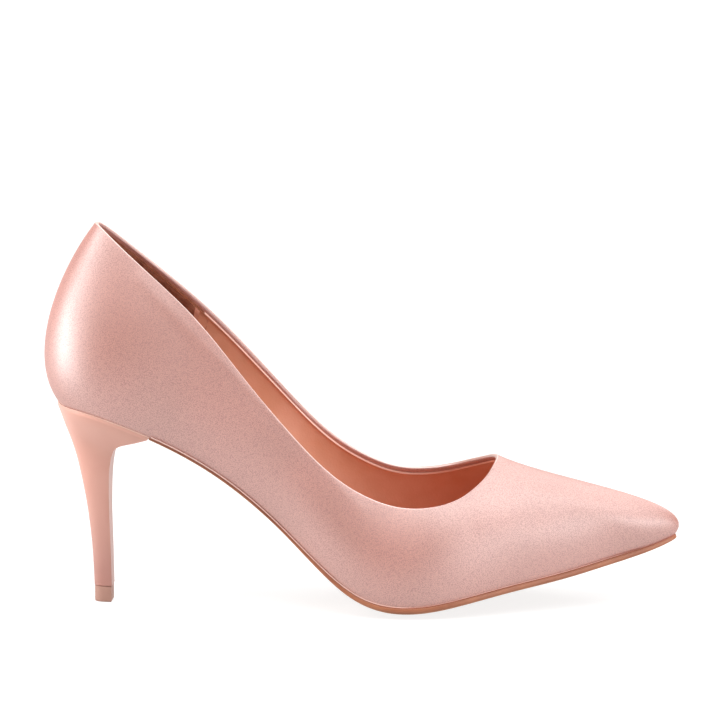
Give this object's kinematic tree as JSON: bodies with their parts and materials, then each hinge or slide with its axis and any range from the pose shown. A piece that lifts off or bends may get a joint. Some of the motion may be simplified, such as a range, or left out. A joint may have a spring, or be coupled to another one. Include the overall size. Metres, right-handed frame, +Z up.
{
  "type": "court shoe",
  "caption": "Pointed court shoe in rose satin, right foot, with a low-cut throat, a thin leather sole and a slim lacquered stiletto heel.",
  "frame": {"origin": "centre of the bounding box in X and Y, on the plane that the shoe stands on", "axes": "+X towards the toe, +Z up, -Y towards the outer side of the foot"},
  "size_m": [0.2356, 0.076, 0.1423],
  "materials": {
    "satin": "rose satin with a soft sheen, lined in salmon leather",
    "sock": "salmon sock lining, matt",
    "sole_leather": "tan leather with a polished edge",
    "heel_lacquer": "nude lacquer, semi-gloss",
    "lift_rubber": "nude polyurethane, matt"
  },
  "bodies": {
    "root": {"upper": "satin", "insole": "sock", "outsole": "sole_leather", "heel": "heel_lacquer", "top_lift": "lift_rubber"}
  },
  "joints": []
}
